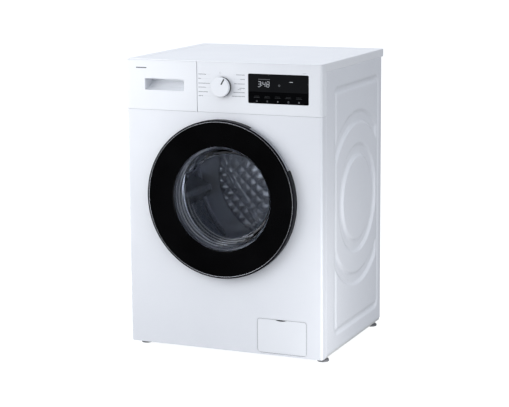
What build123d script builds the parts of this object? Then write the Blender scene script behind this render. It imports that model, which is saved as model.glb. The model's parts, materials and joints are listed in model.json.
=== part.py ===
from build123d import *
import math
import os

# Front load washing machine, millimetres.
# Frame: origin under the centre of the bounding box on the floor, +X to the
# right seen from the front, the front faces -Y, +Z up.

# driving dimensions: cabinet
W2 = 300.0            # half width
YF = -250.0           # front panel plane
YR = 250.0            # rear of the cabinet
TOP = 850.0           # worktop surface
SHEET = 1.2           # front sheet
DOORZ = 461.0         # height of the door, tub and drum axis
MOUTH_R = 170.0       # hole in the front panel
PANEL_TOP = 705.4     # upper edge of the front panel
# driving dimensions: door
DOOR_R = 227.0
DOOR_Y = -275.0       # front face of the door
DOOR_BACK = -253.0
HINGE_X = -220.0
HINGE_Y = -264.0
HOOK_X = 196.0
HOOK_Y = -258.0
GROOVE_Y = 44.0       # centre of the round grooves in the side panels
GROOVE_Z = 434.0
# driving dimensions: washing unit
TUB_R = 268.0
DRUM_R = 245.0
PULLEY_R = 140.0
ROTOR_R = 10.0
MOTOR_X = 70.0
MOTOR_Z = 151.0
# driving dimensions: controls
FASCIA_LOW = 706.0
FASCIA_TOP = 846.7
SPLIT_X = -75.0       # left edge of the fascia, beside the drawer front
DRAWER_X = -76.8      # right edge of the drawer front
KNOB_X = 2.0
KNOB_Z = 779.5
KEY_X = [106.7, 138.2, 169.7, 201.2, 232.7]
KEY_W = 27.9
GRIP_BACK = -205.0    # back of the drawer's finger recess
# driving dimensions: base
FILTER_X = 178.0
FILTER_Z = 80.0
FLAP_Y = -249.0       # hinge line of the filter flap
FLAP_Z = 26.6
FOOT_XY = [(-280, -190), (280, -190), (-280, 226), (280, 226)]
TRAY_TOP = 60.0
SPRING_X = 190.0
SPRING_Y = 60.0
DAMPER_X = 170.0
DAMPER_Y = -20.0

os.makedirs("parts", exist_ok=True)


def save(name, shape):
    export_step(shape, "parts/" + name + ".step")


def box(x0, x1, y0, y1, z0, z1):
    return Pos((x0 + x1) / 2, (y0 + y1) / 2, (z0 + z1) / 2) * Box(x1 - x0, y1 - y0, z1 - z0)


def rod_x(r, x0, x1, y, z):
    return Pos((x0 + x1) / 2, y, z) * Rot(0, 90, 0) * Cylinder(r, x1 - x0)


def rod_y(r, x, y0, y1, z):
    return Pos(x, (y0 + y1) / 2, z) * Rot(90, 0, 0) * Cylinder(r, y1 - y0)


def rod_z(r, x, y, z0, z1):
    return Pos(x, y, (z0 + z1) / 2) * Cylinder(r, z1 - z0)


def tile(x0, x1, z0, z1, y0, y1, r):
    # plate in the XZ plane with rounded corners
    solid = box(x0, x1, y0, y1, z0, z1)
    return fillet(solid.edges().filter_by(Axis.Y), r)


def lathe(points, cx=0.0, cz=DOORZ, start=0.0, arc=360.0):
    # turns a closed (radius, y) outline about a line along Y through (cx, cz)
    outline = make_face(Polyline(*[(cx + r, y, cz) for r, y in points], close=True))
    spindle = Axis((cx, 0, cz), (0, -1, 0))
    solid = revolve(outline, spindle, arc)
    if start:
        solid = solid.rotate(spindle, start)
    return solid


def lathe_curves(segments, cx=0.0, cz=DOORZ):
    # outline made of straight runs and smooth curves, each a list of (radius, y)
    edges = []
    for smooth, pts in segments:
        spots = [Vector(cx + r, y, cz) for r, y in pts]
        if smooth:
            edges.append(Edge.make_spline(spots))
        else:
            for a, b in zip(spots[:-1], spots[1:]):
                edges.append(Edge.make_line(a, b))
    outline = Face(Wire(edges))
    return revolve(outline, Axis((cx, 0, cz), (0, -1, 0)), 360)


def pipe(points, bend, outer, inner):
    path = FilletPolyline(*points, radius=bend)
    section = Plane(origin=path @ 0, z_dir=path % 0) * (Circle(outer) - Circle(inner))
    return sweep(section, path=path)


def polar(r, degrees, cx=0.0, cz=DOORZ):
    a = math.radians(degrees)
    return cx + r * math.cos(a), cz + r * math.sin(a)


# ---------------------------------------------------------------- cabinet

def corner_shell(x0, x1, z0, z1, y0, y1, radius, wall):
    outer = box(x0, x1, y0, y1, z0, z1)
    outer = fillet(outer.edges().filter_by(Axis.Z).sort_by(Axis.Y)[:2], radius)
    core = box(x0 + wall, x1 - wall, y0 + wall, y1 + 1, z0 - 1, z1 + 1)
    core = fillet(core.edges().filter_by(Axis.Z).sort_by(Axis.Y)[:2], radius - wall)
    return outer - core


def front_panel():
    p = corner_shell(-W2, W2, 18, PANEL_TOP, YF, YF + 30, 7, SHEET)
    p += box(-291, 291, YF + 1, -236, 18, 19.2)
    p += box(-291, 291, YF + 1, -240, PANEL_TOP - 1.2, PANEL_TOP)
    p -= rod_y(MOUTH_R, 0, -251, -239, DOORZ)
    lip = [(MOUTH_R, YF), (MOUTH_R + SHEET, YF), (MOUTH_R + SHEET, -240), (MOUTH_R, -240)]
    p += lathe(lip)
    p -= box(-225, -215, -251, -247, 445, 477)
    p -= tile(185, 209, 450, 472, -251, -247, 4)
    p -= tile(101, 255, 23, 125, -251, -247, 9.2)
    return p


def groove_ring(r0, r1, grow):
    # pressed circular groove about the X axis at the right hand side panel
    if grow:
        pts = [(300, r0 - 1.2), (300, r1 + 1.2), (295.5, r1 - 2.2), (295.5, r0 + 2.2)]
    else:
        pts = [(300.5, r0 - 0.4), (300.5, r1 + 0.4), (296.5, r1 - 3), (296.5, r0 + 3)]
    outline = make_face(Polyline(*[(x, GROOVE_Y + r, GROOVE_Z) for x, r in pts], close=True))
    return revolve(outline, Axis((0, GROOVE_Y, GROOVE_Z), (1, 0, 0)), 360)


def groove_frame(grow):
    yc = (-155.0 + 225.0) / 2
    zc = (63.0 + 777.0) / 2
    wy = 380.0 + 2 * grow
    wz = 714.0 + 2 * grow
    deep = 3.5 + grow
    slope = 40.0
    run = deep * math.tan(math.radians(slope))
    top = Plane(origin=(300, yc, zc), x_dir=(0, 1, 0), z_dir=(-1, 0, 0))
    low = Plane(origin=(300 - deep, yc, zc), x_dir=(0, 1, 0), z_dir=(1, 0, 0))
    outer = extrude(top * RectangleRounded(wy, wz, 18), deep, taper=slope)
    inset = 20.0 + 2 * grow
    iy = wy - 2 * inset + 2 * run
    iz = wz - 2 * inset + 2 * run
    island = extrude(low * RectangleRounded(iy, iz, 12), deep, taper=slope)
    return outer - island


def side_panel():
    p = box(299, 300, -219.5, YR, 22, 826.6)
    p += box(292, 299.2, -219.5, -218.5, 80, 826.6)
    p += box(287, 299.2, 249, 250, 86, 826.6)
    p += box(287, 299.2, -219, 249.5, 825.6, 826.6)
    near = box(290, 301, -132, 202, 100, 760)
    wide = box(290, 301, -133, 203, 100, 760)
    p += groove_frame(1.0)
    p += groove_ring(218, 260, True) & wide
    p += groove_ring(120, 163, True)
    p -= groove_frame(0.0)
    p -= groove_ring(218, 260, False) & near
    p -= groove_ring(120, 163, False)
    return p


def rear_panel():
    p = box(-298, 298, 247.7, 248.7, 22, 825.4)
    p -= tile(-150, 150, 290, 640, 247, 249, 30)
    for z in (130, 180, 720):
        p += box(-200, 150, 248.7, 251.2, z - 9, z + 9)
        p -= box(-199, 149, 247, 250.2, z - 8, z + 8)
    for x in (-185, 185):
        for z in (255, 675):
            p -= rod_y(10.3, x, 247, 249, z)
    p -= rod_y(13.6, -230, 247, 249, 790)
    p -= rod_y(10.2, 262, 247, 249, 700)
    p -= rod_y(8.2, 205, 247, 249, 775)
    for x in (-155, 155):
        for z in (300, 630):
            p -= rod_y(2.3, x, 247, 249, z)
    return p


def rear_cover():
    p = tile(-168, 168, 272, 658, 248.7, 249.9, 34)
    p += rod_y(135, 0, 249.9, 256, DOORZ)
    p -= rod_y(133.8, 0, 248, 254.8, DOORZ)
    for i in range(-3, 4):
        p -= tile(-40, 40, DOORZ + i * 16 - 2.5, DOORZ + i * 16 + 2.5, 254, 257, 2.4)
    for x in (-155, 155):
        for z in (300, 630):
            p -= rod_y(2.3, x, 248, 251, z)
    return p


def base_tray():
    p = box(-298.6, 298.6, -234, 247, 16, TRAY_TOP)
    p -= box(-295.6, 295.6, -231, 244, 43, TRAY_TOP + 1)
    p -= box(-295.6, 295.6, -231, 244, 15, 40)
    for x, y in FOOT_XY:
        p += rod_z(16.4, x, y, 16, 56)
        p += box(x - 2, x + 2, -231 if y < 0 else y, y if y < 0 else 244, 17, 41)
    for x in (-150, 0, 150):
        p += box(x - 1.5, x + 1.5, -232, 245, 24, 41)
    for y in (-110, 60):
        p += box(-296, 296, y - 1.5, y + 1.5, 24, 41)
    for x, y in FOOT_XY:
        p -= rod_z(5.08, x, y, 15, 57)
    p -= rod_y(36, FILTER_X, -236, -229, FILTER_Z)
    p -= box(FILTER_X - 36, FILTER_X + 36, -236, -229, FILTER_Z - 20, FILTER_Z)
    for x in (-240, -80, 80):
        p -= box(x - 30, x + 30, 243, 248, 48, 56)
    return p


def worktop():
    p = box(-W2, W2, -219.7, 275, 827, TOP)
    p += box(-W2, W2, YF + 0.2, -219, 847, TOP)
    p = fillet(p.edges().filter_by(Axis.Z).group_by(Axis.Y)[-1], 10)
    p = fillet(p.edges().filter_by(Axis.Z).group_by(Axis.Y)[0], 7)
    p = fillet(p.faces().sort_by(Axis.Z)[-1].edges(), 2.4)
    p -= box(-293, 293, -214, 262, 826, 834)
    return p


def control_fascia():
    p = corner_shell(SPLIT_X, W2, FASCIA_LOW, FASCIA_TOP, YF, -220, 7, 2.6)
    p -= box(SPLIT_X - 0.1, -64, -250.1, -219, 705, 848)
    p += box(SPLIT_X, -64, YF, YF + 2.6, FASCIA_LOW, FASCIA_TOP)
    p += box(SPLIT_X, -72.4, YF, -222, FASCIA_LOW, FASCIA_TOP)
    p += box(SPLIT_X, 298, YF + 1, -222, FASCIA_TOP - 2.6, FASCIA_TOP)
    p += box(SPLIT_X, 298, YF + 1, -238, FASCIA_LOW, FASCIA_LOW + 2.6)
    p -= box(-76, 297.4, -237, -219, 700, 726)
    # frame behind the drawer front
    p += box(-296.8, -72.4, -224, -221.6, 726, FASCIA_TOP)
    p -= box(-288.2, -88.8, -225, -221, 735.5, 813.5)
    # board posts
    for x in (-15, 269):
        for z in (733, 823):
            p += rod_y(3.6, x, -248, -236, z)
    # window seat
    p += box(76, 266, -248, -245.2, 733, 823)
    p -= tile(84, 258, 764.5, 816, -250.5, -244, 3)
    p -= box(88, 252, -248.5, -244, 737, 765)
    p -= tile(80.7, 261.3, 736.7, 819.3, -250.5, -247.2, 4.3)
    p -= rod_y(4.0, KNOB_X, -251, -246, KNOB_Z)
    return p


def display_window():
    p = tile(81, 261, 737, 819, YF, -247.3, 4)
    p -= box(80, 262, YF - 1, YF + 0.6, 767.0, 768.6)
    for x in KEY_X:
        p -= tile(x - 14.25, x + 14.25, 738.4, 763, -251, -246, 1.2)
    return p


def key(x):
    p = tile(x - KEY_W / 2, x + KEY_W / 2, 738.7, 762.7, YF, -246, 1.0)
    p += box(x - 14.9, x + 14.9, -246.6, -245.3, 737.8, 763.6)
    p += rod_y(2.2, x, -246, -239.9, 751)
    return p


def control_board():
    p = box(-22, 275, -236, -234.4, 728, 828)
    p += box(92, 250, -243.5, -236, 772, 812)
    for x in KEY_X:
        p += box(x - 3, x + 3, -238.7, -236, 748, 754)
    p += box(KNOB_X - 8, KNOB_X + 8, -246.6, -236, KNOB_Z - 8, KNOB_Z + 8)
    p -= rod_y(3.06, KNOB_X, -247, -237.6, KNOB_Z)
    for i in range(5):
        p += rod_y(5, 30 + i * 11, -244, -236, 745)
    p += box(20, 70, -234.4, -222, 790, 820)
    return p


def programme_knob():
    pts = [(0, -268), (25.9, -268), (27.0, -267.2), (27.5, -266), (27.5, -251), (25.4, -251),
           (24.9, -264.5), (6, -264.5), (6, -250.7), (3, -250.7), (3, -238.4), (0, -238.4)]
    p = lathe(pts, KNOB_X, KNOB_Z)
    line = box(-0.9, 0.9, -268.5, -267.5, 12.5, 26.5)
    p -= Pos(KNOB_X, 0, KNOB_Z) * Rot(0, 30, 0) * line
    return p


def dispenser_housing():
    p = box(-291, -86, -221.3, 20, 733, 816)
    p -= box(-289, -88, -222, 18, 735, 814)
    p += box(-289.5, -87.5, -160, 10, 811, 814.5)
    p += rod_z(16, -110, 0, 731, 735)
    p -= rod_z(13.5, -110, 0, 730, 736)
    p += rod_y(4.9, -230, 19, 32, 790)
    p -= rod_y(3.2, -230, 15, 33, 790)
    return p


def drawer_front():
    p = box(-W2, DRAWER_X, YF, -220.6, FASCIA_LOW, FASCIA_TOP)
    p = fillet(p.edges().filter_by(Axis.Z).group_by(Axis.Y)[0].sort_by(Axis.X)[:1], 7)
    core = box(-297.4, DRAWER_X - 2.6, -247.4, -219, FASCIA_LOW + 2.6, FASCIA_TOP - 2.6)
    core = fillet(core.edges().filter_by(Axis.Z).group_by(Axis.Y)[0].sort_by(Axis.X)[:1], 4.4)
    p -= core
    p -= box(-297.4, -70, -226.2, -219, 700, 850)
    p += box(-242.5, -114.5, -249, GRIP_BACK + 1.6, 759.5, 797.5)
    hollow = extrude(Plane.YZ * make_face(Polyline(
        (-251, 762), (-251, 795), (GRIP_BACK, 795), (GRIP_BACK, 784), (-219, 770), (-241, 762.4),
        close=True)), 123)
    p -= Pos(-240, 0, 0) * hollow
    return p


def drawer_tray():
    front = GRIP_BACK + 1.6
    p = box(-286, -91, front, -30, 737, 806)
    for x0, x1 in ((-284, -197), (-195, -145), (-143, -93)):
        p -= box(x0, x1, front + 2, -32, 739, 807)
    p -= box(-284, -93, -140, -32, 790, 807)
    p += box(-200, -180, -30, -28, 739, 760)
    return p


def inlet_valve():
    p = box(-252, -208, 206, 247.7, 772, 808)
    p += rod_z(11, -230, 225, 745, 773)
    p += rod_y(4.9, -230, 192, 207, 790)
    p += rod_y(13.2, -230, 247, 265, 790)
    p += rod_y(16.5, -230, 248.7, 250.6, 790)
    p -= rod_y(9.0, -230, 236, 266, 790)
    return p


def dispenser_hose():
    pts = [(16.4, 714.5), (19.2, 714.5), (19.2, 718), (22.5, 720.5), (19.2, 723), (22.5, 725.5),
           (19.2, 728), (19.2, 733), (16.4, 733)]
    outline = make_face(Polyline(*[(-110 + r, 0, z) for r, z in pts], close=True))
    return revolve(outline, Axis((-110, 0, 0), (0, 0, 1)), 360)


def door_lock():
    p = box(182, 215, -248.8, -218, 436, 486)
    p -= box(185, 211, -249.5, -222, 449, 473)
    p += box(186, 210, -218, -212, 445, 477)
    return p


def door_hinge_bracket():
    p = box(-242, -182, -248.8, -246.3, 421, 501)
    p += box(HINGE_X - 3, HINGE_X + 3, HINGE_Y, -247, 447, 475)
    p += rod_z(5, HINGE_X, HINGE_Y, 447, 475)
    p -= rod_z(2.56, HINGE_X, HINGE_Y, 446, 476)
    for z in (430, 492):
        p -= rod_y(2.2, -205, -249, -246, z)
    return p


def door_gasket():
    pts = [(166, -249.4), (169.7, -249.4), (169.7, -239), (178, -235), (178, -214), (160.3, -207),
           (160.3, -193.6), (157, -193.6), (157, -209.5), (174.6, -216.4), (174.6, -233), (166.6, -236.6),
           (151, -234.6), (147.6, -243), (150, -244.6), (153, -238.6), (165, -240.2)]
    return lathe(pts)


def top_brace():
    p = box(-298.6, 298.6, 50, 70, 800, 802)
    p += box(-298.6, 298.6, 50, 52, 801, 825)
    p += box(-298.6, 298.6, 68, 70, 801, 825)
    return p


def drain_pump():
    x = FILTER_X
    z = FILTER_Z
    p = rod_y(34, x, -238, -150, z)
    p += rod_y(37, x, -238, -235.5, z)
    p += box(x - 30, x + 30, -228, -152, 43, 70)
    p += rod_y(15, x, -152, -136, z)
    p += rod_x(22, 112, 150, -182, z)
    p += rod_x(9, x + 30, x + 52, -175, z)
    p -= rod_y(27.8, x, -239, -186, z)
    p -= rod_y(22, x, -187, -156, z)
    p -= rod_y(12, x, -157, -135, z)
    p -= rod_x(6.5, x + 20, x + 53, -175, z)
    return p


def drain_filter():
    x = FILTER_X
    z = FILTER_Z
    pts = [(0, -244), (26, -244), (27.5, -242.5), (27.5, -192), (24, -192), (24, -239), (0, -239)]
    p = lathe(pts, x, z)
    p += box(x - 21, x + 21, -246.8, -243, z - 3.5, z + 3.5)
    for i in range(6):
        cx, cz = polar(25.7, 60 * i + 30, x, z)
        p -= rod_y(5, cx, -225, -196, cz)
    return p


def sump_hose():
    x = FILTER_X
    z = FILTER_Z
    pts = [(110, -110, 204), (110, -110, z), (x, -110, z), (x, -149.6, z)]
    return pipe(pts, 22, 18.4, 15.4)


def internal_hoses():
    # drain hose from the pump to the rear outlet, fill hose from valve to dispenser
    pts = [(FILTER_X + 35, -175, FILTER_Z), (262, -175, FILTER_Z), (262, 205, FILTER_Z),
           (262, 205, 700), (262, 240, 700)]
    fill = rod_y(7.4, -230, 20.2, 205.6, 790) - rod_y(5.0, -230, 19, 207, 790)
    return pipe(pts, 24, 11.6, 9.3) + fill


def drain_outlet():
    p = rod_y(9.0, 262, 228, 272, 700)
    p += rod_y(17, 262, 248.7, 251.2, 700)
    p += lathe([(5, 268), (9.2, 268), (8.8, 271.6), (5, 271.6)], 262, 700)
    p -= rod_y(6.5, 262, 227, 273, 700)
    return p


def damper_cylinders():
    p = None
    for s in (-1, 1):
        x = s * DAMPER_X
        c = rod_z(13.5, x, DAMPER_Y, 43, 172)
        c += box(x - 20, x + 20, DAMPER_Y - 16, DAMPER_Y + 16, 43, 47)
        c -= rod_z(10.3, x, DAMPER_Y, 60, 166)
        c -= rod_z(5.35, x, DAMPER_Y, 160, 173)
        p = c if p is None else p + c
    return p


def damper_rods():
    p = None
    for s in (-1, 1):
        x = s * DAMPER_X
        c = rod_z(5, x, DAMPER_Y, 110, 228)
        c += rod_z(10, x, DAMPER_Y, 105, 130)
        c += box(x - 9, x + 9, DAMPER_Y - 7, DAMPER_Y + 7, 222, 236)
        p = c if p is None else p + c
    return p


def spring(x):
    path = Helix(105.6 / 12, 105.6, 13.0)
    section = Plane(origin=path @ 0, z_dir=path % 0) * Circle(2.0)
    return Pos(x, SPRING_Y, 692.2) * sweep(section, path=path)


def suspension_springs():
    return spring(-SPRING_X) + spring(SPRING_X)


def rear_fittings():
    p = None
    for x in (-185, 185):
        for z in (255, 675):
            c = rod_y(17, x, 248.7, 251.5, z)
            c += rod_y(10, x, 240, 249, z)
            c -= rod_y(7, x, 239, 250, z)
            p = c if p is None else p + c
    gland = rod_y(13, 205, 248.7, 258, 775) + rod_y(8, 205, 240, 249, 775)
    gland -= rod_y(4, 205, 239, 259, 775)
    return p + gland + drain_outlet()


def cabinet_fasteners():
    p = None
    for x in (-155, 155):
        for z in (300, 630):
            c = rod_y(2.2, x, 247.7, 250.2, z) + rod_y(4.5, x, 249.9, 252.2, z)
            c -= box(x - 3, x + 3, 251.4, 253, z - 0.5, z + 0.5)
            p = c if p is None else p + c
    for x, y in FOOT_XY:
        nut = Pos(x, y, 13) * extrude(RegularPolygon(9.5, 6), 3, both=True)
        nut -= rod_z(5.08, x, y, 9, 17)
        p += nut
    return p


def flap_frame():
    p = tile(101.3, 254.7, 23.3, 124.7, YF, -241, 8.9)
    p -= tile(103.3, 252.7, 24.4, 123.1, -251, -240, 6.9)
    p -= rod_x(0.87, 103.9, 108, FLAP_Y, FLAP_Z)
    p -= rod_x(0.87, 248, 252.1, FLAP_Y, FLAP_Z)
    return p


def filter_flap():
    p = box(103.8, 252.2, -249.9, -247.5, 25.0, 122.6)
    corners = p.edges().filter_by(Axis.Y).sort_by(Axis.Z)
    p = fillet(corners[2:], 6.5)
    p = fillet(p.edges().filter_by(Axis.Y).group_by(Axis.Z)[0], 9.0)
    p -= rod_y(47.1, 175, -251, -246, 165.9)
    p += rod_x(0.8, 104.2, 114, FLAP_Y, FLAP_Z)
    p += rod_x(0.8, 242, 251.8, FLAP_Y, FLAP_Z)
    return p


def foot(x, y):
    pts = [(0, 0), (16, 0), (17, 1), (17, 5), (14.5, 7.5), (8, 8.5), (5, 9.5), (5, 52), (0, 52)]
    outline = make_face(Polyline(*[(x + r, y, z) for r, z in pts], close=True))
    return revolve(outline, Axis((x, y, 0), (0, 0, 1)), 360)


# ---------------------------------------------------------------- washing unit

def tub_front():
    pts = [(153.4, -206), (156.7, -206), (156.7, -193), (255, -193), (TUB_R, -180), (TUB_R, -66),
           (272, -66), (272, -60), (265, -60), (265, -179), (254, -190), (153.4, -190)]
    p = lathe(pts)
    stub = rod_z(15, 110, -110, 190, 232) - rod_y(265.5, 0, -150, -70, DOORZ)
    p += stub
    p -= rod_z(12, 110, -110, 189, 240)
    return p


def tub_rear():
    pts = [(265, -60), (272, -60), (272, -54), (TUB_R, -54), (TUB_R, 138), (256, 150), (42, 150),
           (42, 198), (31, 198), (31, 151.5), (20, 151.5), (20, 147), (255, 147), (265, 137)]
    p = lathe(pts)
    for i in range(12):
        rib = box(41, 254, 149.5, 176, -1.5, 1.5)
        rib -= Pos(254, 176, 0) * Rot(0, 0, 45) * Box(60, 22, 8)
        p += Pos(0, 0, DOORZ) * Rot(0, 30 * i + 15, 0) * rib
    inside = rod_y(266, 0, -59, 146, DOORZ)
    lugs = box(SPRING_X + 9, SPRING_X + 17, 52, 68, 625, 690)
    lugs += box(13 - SPRING_X - 4, 13 - SPRING_X + 4, 52, 68, 625, 690)
    lugs += box(-DAMPER_X - 7, -DAMPER_X + 7, -28, -12, 236, 275)
    lugs += box(DAMPER_X - 7, DAMPER_X + 7, -28, -12, 236, 275)
    saddle = box(MOTOR_X - 14, MOTOR_X + 14, 66, 80, 185, 215)
    saddle += box(MOTOR_X - 14, MOTOR_X + 14, 168, 182, 185, 215)
    saddle += box(MOTOR_X - 14, MOTOR_X + 14, 140, 182, 196, 215)
    saddle -= rod_y(45.02, MOTOR_X, 50, 200, MOTOR_Z)
    p += (lugs + saddle) - inside
    p += rod_z(16, -110, 0, 690, 720) - inside
    p -= rod_z(13, -110, 0, 680, 721)
    for x in (-20, 20):
        p -= rod_y(4.1, x, 140, 152, 208.3)
    return p


def drum_bearings():
    p = lathe([(15.06, 152), (30.97, 152), (30.97, 168), (15.06, 168)])
    p += lathe([(15.06, 181), (30.97, 181), (30.97, 197), (15.06, 197)])
    return p


def counterweights():
    p = lathe([(184, -229), (188, -232), (256, -232), (262, -227), (262, -193.4), (184, -193.4)],
              start=206, arc=128)
    p += lathe([(178, -220), (182, -223), (250, -223), (254, -219), (254, -193.4), (178, -193.4)],
               start=28, arc=124)
    return p


def motor_housing():
    pts = [(5.06, 60), (43, 60), (45, 62), (45, 188), (43, 190), (5.06, 190), (5.06, 187), (42, 187),
           (42, 170), (31, 170), (31, 80), (42, 80), (42, 63), (5.06, 63)]
    p = lathe(pts, MOTOR_X, MOTOR_Z)
    for i in range(10):
        cx, cz = polar(26, 36 * i, MOTOR_X, MOTOR_Z)
        p -= rod_y(4.5, cx, 58, 64, cz)
    return p


def drive_belt():
    dx = MOTOR_X
    dz = MOTOR_Z - DOORZ
    span = math.hypot(dx, dz)
    aim = math.atan2(dz, dx)

    def loop(big, small):
        lean = math.acos((big - small) / span)
        pts = []
        for sign in (1, -1):
            a = aim + sign * lean
            pts.append((a, Vector(big * math.cos(a), 209, DOORZ + big * math.sin(a)),
                        Vector(dx + small * math.cos(a), 209, MOTOR_Z + small * math.sin(a))))
        far = aim + math.pi
        back = Vector(big * math.cos(far), 209, DOORZ + big * math.sin(far))
        tip = Vector(dx + small * math.cos(aim), 209, MOTOR_Z + small * math.sin(aim))
        edges = [Edge.make_three_point_arc(pts[0][1], back, pts[1][1])]
        edges.append(Edge.make_line(pts[1][1], pts[1][2]))
        edges.append(Edge.make_three_point_arc(pts[1][2], tip, pts[0][2]))
        edges.append(Edge.make_line(pts[0][2], pts[0][1]))
        return Face(Wire(edges))

    outer = extrude(loop(PULLEY_R + 3.3, ROTOR_R + 3.3), 14, dir=(0, 1, 0))
    inner = extrude(loop(PULLEY_R + 0.3, ROTOR_R + 0.3), 14, dir=(0, 1, 0))
    return outer - inner


def heater():
    p = rod_y(4.0, -20, -36, 160, 208.3) + rod_y(4.0, 20, -36, 160, 208.3)
    p += rod_x(4.0, -20, 20, -36, 208.3)
    p += box(-34, 34, 150, 155, 199, 218)
    p += box(-6, 6, 155, 168, 204, 213)
    return p


# ---------------------------------------------------------------- drum and rotor

def drum_shell():
    pts = [(154, -177), (158, -181.2), (165, -181.2), (171.5, -175.2), (236.5, -171.2), (DRUM_R, -162),
           (DRUM_R, 113), (237, 121.2), (15.2, 123.2), (15.2, 122), (236.4, 120), (243.8, 112.6),
           (243.8, -161.5), (236, -170), (171, -174), (164.5, -180), (158.5, -180), (155, -176.3)]
    return lathe(pts)


def lifter_bar(low, top, wide, y0, y1):
    # tapered rib: half widths low at the drum wall, top at the crest
    rib = make_face(Polyline((-low, 235), (-top - 6, wide + 4), (-top, wide), (top, wide),
                             (top + 6, wide + 4), (low, 235), (low, 250), (-low, 250), close=True))
    return extrude(Plane(origin=(0, y0, 0), x_dir=(1, 0, 0), z_dir=(0, -1, 0)) * rib, y0 - y1)


def drum_lifters():
    # three hollow ribs, open towards the drum wall
    bar = lifter_bar(34, 6, 199, -140, 95) - lifter_bar(31.6, 4.6, 200.8, -138.2, 93.2)
    bar = bar & rod_y(243.6, 0, -150, 110, 0)
    p = None
    for i in range(3):
        c = Pos(0, 0, DOORZ) * Rot(0, 120 * i + 20, 0) * bar
        p = c if p is None else p + c
    return p


def drum_spider():
    # the shaft is cast into the spider
    p = rod_y(38, 0, 124, 144, DOORZ)
    for i in range(3):
        arm = box(20, 234, 124, 136, -17, 17)
        arm -= box(60, 210, 127, 137, -13, -2)
        arm -= box(60, 210, 127, 137, 2, 13)
        p += Pos(0, 0, DOORZ) * Rot(0, 120 * i + 20, 0) * arm
    p += lathe([(0, 124), (15, 124), (15, 203), (12, 203), (12, 231), (0, 231)])
    p += Pos(0, 231, DOORZ) * Rot(90, 0, 0) * extrude(RegularPolygon(14, 6), 4)
    return p


def drum_pulley():
    p = lathe([(131, 206), (143, 206), (143, 208.4), (PULLEY_R, 208.4), (PULLEY_R, 223.6),
               (143, 223.6), (143, 226), (131, 226)])
    p += lathe([(12, 203.1), (26, 203.1), (26, 226.8), (12, 226.8)])
    for i in range(6):
        arm = box(24, 133, 211, 221, -10, 10)
        p += Pos(0, 0, DOORZ) * Rot(0, 60 * i, 0) * arm
    return p


def motor_rotor():
    pts = [(0, 52), (5, 52), (5, 82), (28, 82), (28, 168), (5, 168), (5, 206.5), (ROTOR_R, 207),
           (ROTOR_R, 225), (5, 225.5), (5, 228), (0, 228)]
    return lathe(pts, MOTOR_X, MOTOR_Z)


# ---------------------------------------------------------------- door

def door_notch():
    # clear space for the hinge bracket as the door turns
    return box(-240, -213.5, -272, -250, 445.2, 476.8)


def door_ring():
    pts = [(DOOR_R, DOOR_BACK), (DOOR_R, -271), (226.3, -273.6), (224.4, DOOR_Y), (222.6, DOOR_Y),
           (222.6, -271.6), (223.8, -271.6), (223.8, DOOR_BACK)]
    p = lathe(pts)
    p -= lathe([(219, -271.4), (230, -271.4), (230, -252), (219, -252)], start=24.5, arc=42)
    p -= door_notch()
    p -= box(-240, -213.5, -269.6, -250, 429, 494.5)
    return p


def door_window():
    pts = [(220.5, -274.6), (151.5, -263.4), (150.2, -262), (150.2, -258.9), (153.5, -258.9),
           (156, -260.4), (219.8, -271.4), (219.8, -269.4), (223.6, -269.4), (223.6, -271.4),
           (222.4, -271.4), (222.4, -272.4), (220.5, -272.4)]
    return lathe(pts) - door_notch()


def door_glass():
    face = [(148, -257), (141.5, -250), (137.6, -236), (132.5, -212), (126, -188), (114, -168),
            (92, -155), (55, -149.4), (0, -148)]
    back = [(0, -144), (56, -145.4), (94.5, -151.3), (117.5, -165), (130, -186.5), (136.6, -211.5),
            (141.6, -236), (145, -247.5), (150, -253)]
    rim = [(150, -253), (166, -253), (166, -257), (148, -257)]
    return lathe_curves([(True, face), (False, [(0, -148), (0, -144)]), (True, back), (False, rim)])


def door_inner_frame():
    p = lathe([(167, -257), (172, -257), (172, -256), (223.4, -256), (223.4, DOOR_BACK), (167, DOOR_BACK)])
    p += lathe([(157, -253), (176, -253), (174, -251.4), (158, -251.4)])
    for i in range(12):
        cx, cz = polar(190, 30 * i + 15)
        p += rod_y(4, cx, -265.2, -255, cz)
    p -= lathe([(210.5, -258), (230, -258), (230, -250), (210.5, -250)], start=23.5, arc=44)
    p -= door_notch()
    p -= box(-240, -213.5, -262, -250, 430, 492)
    p -= tile(HOOK_X - 7, HOOK_X + 11, 453, 469, -260, -250, 3)
    for z in (449.2, 469.6):
        p += box(HOOK_X - 4, HOOK_X + 4, -262, -255, z, z + 3.2)
    p -= rod_z(2.06, HOOK_X, HOOK_Y, 448, 474)
    return p


def door_grip():
    # lip at the rim with a finger channel behind it
    lip = [(226.8, -271.1), (226.3, -256.8), (224.2, -256.8), (224.3, -263.2)]
    channel = [(216.5, -263.2), (214.4, -260.6), (213.4, -253.1), (211.4, -253.1), (212.6, -261.6),
               (215.6, -265.2), (224.3, -265.2), (224.3, -271.1)]
    return lathe(lip + channel, start=25, arc=41)


def door_hinge_leaf():
    p = box(-211, -181, -259, -256, 431, 491)
    for z in (431, 477):
        c = rod_z(5, HINGE_X, HINGE_Y, z, z + 14)
        c += box(HINGE_X, -207, -265.5, -262.5, z, z + 14)
        c += box(-211, -207, -265.5, -256.5, z, z + 14)
        p += c
    p -= rod_z(2.52, HINGE_X, HINGE_Y, 430, 492)
    return p


def door_hinge_pin():
    return rod_z(2.5, HINGE_X, HINGE_Y, 430, 492) + rod_z(4, HINGE_X, HINGE_Y, 492, 493.5)


def door_hook():
    shank = make_face(Polyline((194.6, -261), (197.6, -261), (197.6, -236), (202.2, -236), (197.6, -229),
                               (194.6, -229), close=True))
    p = Pos(0, 0, 454) * extrude(shank, 14)
    p += rod_z(3.4, HOOK_X, HOOK_Y, 453, 469)
    p += rod_z(2.0, HOOK_X, HOOK_Y, 449.4, 472.6)
    return p


# ---------------------------------------------------------------- write all nodes

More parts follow.
